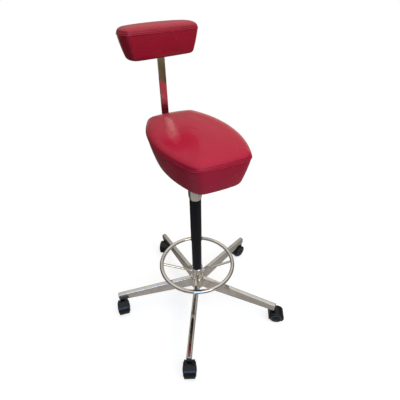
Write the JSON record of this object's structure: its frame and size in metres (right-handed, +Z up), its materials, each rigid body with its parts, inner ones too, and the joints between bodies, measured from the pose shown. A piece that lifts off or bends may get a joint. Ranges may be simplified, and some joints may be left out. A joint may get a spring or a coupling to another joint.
{
  "type": "perch stool",
  "caption": "Perch stool with a long red padded seat, a back pad turning on a flat chrome bar, a telescoping column, a chrome foot ring and a polished star base on hooded casters.",
  "frame": {"origin": "on the floor, on the column's axis", "axes": "+Z up along the column; -Y is the way the sitter faces; +X is the sitter's left"},
  "size_m": [0.6767, 0.6937, 1.062],
  "materials": {
    "polished_aluminium": "polished",
    "chrome": "polished",
    "black_enamel": "satin",
    "hood_plastic": "satin",
    "wheel_plastic": "satin",
    "plain_steel": "satin",
    "bearing_brass": "satin",
    "bush_plastic": "matte",
    "seal_rubber": "matte",
    "knob_plastic": "satin",
    "red_leather": "satin",
    "foam": "matte",
    "plywood": "matte"
  },
  "bodies": {
    "base": {"star_base": "polished_aluminium", "stand_tube": "black_enamel", "guide_bush": "bush_plastic", "lower_race": "plain_steel", "thrust_balls": "plain_steel", "ball_cage": "bearing_brass", "foot_collar": "chrome", "collar_set_screw": "plain_steel", "foot_ring": "chrome", "foot_ring_spokes": "chrome"},
    "lift_rod": {"piston_rod": "plain_steel", "retaining_clip": "plain_steel", "piston": "bush_plastic", "piston_seal": "seal_rubber", "upper_race": "plain_steel"},
    "seat": {"gas_cylinder": "plain_steel", "rod_guide": "bush_plastic", "column_sleeve": "black_enamel", "seat_head": "chrome", "lift_channel": "black_enamel", "seat_plate": "black_enamel", "seat_fasteners": "plain_steel", "lever_pivot": "plain_steel", "seat_board": "plywood", "seat_cover": "red_leather", "seat_foam": "foam", "back_bar": "chrome"},
    "back": {"back_block": "bush_plastic", "back_screws": "plain_steel", "back_panel": "plywood", "back_cover": "red_leather", "back_foam": "foam"},
    "lever": {"release_lever": "plain_steel", "lever_knob": "knob_plastic"},
    "valve": {"release_pin": "plain_steel"},
    "caster_left": {"caster_left_stem": "plain_steel", "caster_left_hood": "hood_plastic", "caster_left_axle": "plain_steel"},
    "wheel_left_inner": {"caster_left_wheel_inner": "wheel_plastic"},
    "wheel_left_outer": {"caster_left_wheel_outer": "wheel_plastic"},
    "caster_front": {"caster_front_stem": "plain_steel", "caster_front_hood": "hood_plastic", "caster_front_axle": "plain_steel"},
    "wheel_front_inner": {"caster_front_wheel_inner": "wheel_plastic"},
    "wheel_front_outer": {"caster_front_wheel_outer": "wheel_plastic"},
    "caster_right": {"caster_right_stem": "plain_steel", "caster_right_hood": "hood_plastic", "caster_right_axle": "plain_steel"},
    "wheel_right_inner": {"caster_right_wheel_inner": "wheel_plastic"},
    "wheel_right_outer": {"caster_right_wheel_outer": "wheel_plastic"},
    "caster_rear_right": {"caster_rear_right_stem": "plain_steel", "caster_rear_right_hood": "hood_plastic", "caster_rear_right_axle": "plain_steel"},
    "wheel_rear_right_inner": {"caster_rear_right_wheel_inner": "wheel_plastic"},
    "wheel_rear_right_outer": {"caster_rear_right_wheel_outer": "wheel_plastic"},
    "caster_rear_left": {"caster_rear_left_stem": "plain_steel", "caster_rear_left_hood": "hood_plastic", "caster_rear_left_axle": "plain_steel"},
    "wheel_rear_left_inner": {"caster_rear_left_wheel_inner": "wheel_plastic"},
    "wheel_rear_left_outer": {"caster_rear_left_wheel_outer": "wheel_plastic"}
  },
  "joints": [
    {"name": "seat_swivel", "type": "hinge", "parent": "base", "child": "lift_rod", "pos_m": [0, 0, 0.07], "axis": [0, 0, 1], "continuous": true},
    {"name": "seat_height", "type": "slide", "parent": "lift_rod", "child": "seat", "axis": [0, 0, 1], "range_m": [-0.135, 0.045]},
    {"name": "back_turn", "type": "hinge", "parent": "seat", "child": "back", "pos_m": [0, 0.26, 0.995], "axis": [0, 0, 1], "continuous": true},
    {"name": "lever_lift", "type": "hinge", "parent": "seat", "child": "lever", "pos_m": [0.022, 0, 0.636], "axis": [0, -1, 0], "range_deg": [0, 6.5], "stiffness_Nm_per_rad": 6, "springref_deg": -2.86},
    {"name": "valve_push", "type": "slide", "parent": "seat", "child": "valve", "axis": [0, 0, 1], "range_m": [-0.0027, 0]},
    {"name": "caster_left_swivel", "type": "hinge", "parent": "base", "child": "caster_left", "pos_m": [-0.3256, 0.0698, 0.06], "axis": [0, 0, 1], "continuous": true},
    {"name": "wheel_left_inner_spin", "type": "hinge", "parent": "caster_left", "child": "wheel_left_inner", "pos_m": [-0.32863, 0.05003, 0.027], "axis": [0.9885, -0.1513, 0], "continuous": true},
    {"name": "wheel_left_outer_spin", "type": "hinge", "parent": "caster_left", "child": "wheel_left_outer", "pos_m": [-0.32863, 0.05003, 0.027], "axis": [0.9885, -0.1513, 0], "continuous": true},
    {"name": "caster_front_swivel", "type": "hinge", "parent": "base", "child": "caster_front", "pos_m": [-0.167, -0.28809, 0.06], "axis": [0, 0, 1], "continuous": true},
    {"name": "wheel_front_inner_spin", "type": "hinge", "parent": "caster_front", "child": "wheel_front_inner", "pos_m": [-0.17504, -0.30641, 0.027], "axis": [0.9157, -0.4019, 0], "continuous": true},
    {"name": "wheel_front_outer_spin", "type": "hinge", "parent": "caster_front", "child": "wheel_front_outer", "pos_m": [-0.17504, -0.30641, 0.027], "axis": [0.9157, -0.4019, 0], "continuous": true},
    {"name": "caster_right_swivel", "type": "hinge", "parent": "base", "child": "caster_right", "pos_m": [0.22239, -0.24786, 0.06], "axis": [0, 0, 1], "continuous": true},
    {"name": "wheel_right_inner_spin", "type": "hinge", "parent": "caster_right", "child": "wheel_right_inner", "pos_m": [0.2394, -0.25837, 0.027], "axis": [0.5255, 0.8508, 0], "continuous": true},
    {"name": "wheel_right_outer_spin", "type": "hinge", "parent": "caster_right", "child": "wheel_right_outer", "pos_m": [0.2394, -0.25837, 0.027], "axis": [0.5255, 0.8508, 0], "continuous": true},
    {"name": "caster_rear_right_swivel", "type": "hinge", "parent": "base", "child": "caster_rear_right", "pos_m": [0.30445, 0.13491, 0.06], "axis": [0, 0, 1], "continuous": true},
    {"name": "wheel_rear_right_inner_spin", "type": "hinge", "parent": "caster_rear_right", "child": "wheel_rear_right_inner", "pos_m": [0.28546, 0.12863, 0.027], "axis": [0.314, -0.9494, 0], "continuous": true},
    {"name": "wheel_rear_right_outer_spin", "type": "hinge", "parent": "caster_rear_right", "child": "wheel_rear_right_outer", "pos_m": [0.28546, 0.12863, 0.027], "axis": [0.314, -0.9494, 0], "continuous": true},
    {"name": "caster_rear_left_swivel", "type": "hinge", "parent": "base", "child": "caster_rear_left", "pos_m": [-0.03423, 0.33124, 0.06], "axis": [0, 0, 1], "continuous": true},
    {"name": "wheel_rear_left_inner_spin", "type": "hinge", "parent": "caster_rear_left", "child": "wheel_rear_left_inner", "pos_m": [-0.04444, 0.31404, 0.027], "axis": [0.8599, -0.5105, 0], "continuous": true},
    {"name": "wheel_rear_left_outer_spin", "type": "hinge", "parent": "caster_rear_left", "child": "wheel_rear_left_outer", "pos_m": [-0.04444, 0.31404, 0.027], "axis": [0.8599, -0.5105, 0], "continuous": true}
  ],
  "couplings": [
    {"joint": "valve_push", "follows": "lever_lift", "m_per_rad": -0.022}
  ]
}
